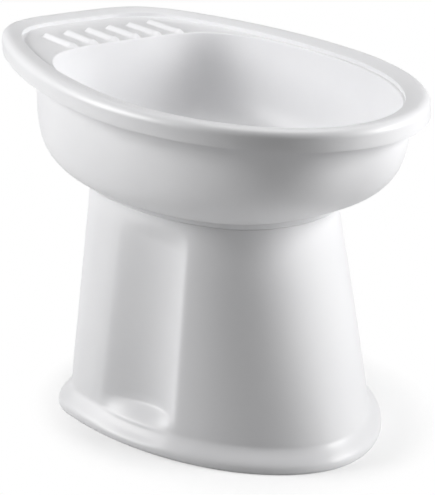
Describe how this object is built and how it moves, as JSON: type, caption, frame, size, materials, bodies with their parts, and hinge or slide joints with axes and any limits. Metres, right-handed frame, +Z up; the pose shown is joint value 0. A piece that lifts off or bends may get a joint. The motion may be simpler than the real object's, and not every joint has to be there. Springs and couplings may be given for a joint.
{
  "type": "bidet with stand",
  "caption": "Portable bidet: an oval basin with a flat lipped rim and a ribbed soap shelf, resting on a hollow tapered stand with fluted sides and a flared foot.",
  "frame": {"origin": "on the floor under the middle of the rim's length and width", "axes": "+X towards the rounded front of the bowl, away from the soap shelf; +Y across the bowl; +Z up"},
  "size_m": [0.61, 0.352, 0.375],
  "materials": {
    "bowl_plastic": "gloss white moulding",
    "stand_plastic": "gloss white moulding"
  },
  "bodies": {
    "stand": {"stand": "stand_plastic"},
    "bowl": {"bowl": "bowl_plastic"}
  },
  "joints": [
    {"name": "bowl_lift", "type": "slide", "parent": "stand", "child": "bowl", "axis": [0, 0, 1], "range_m": [0, 0.15]}
  ]
}
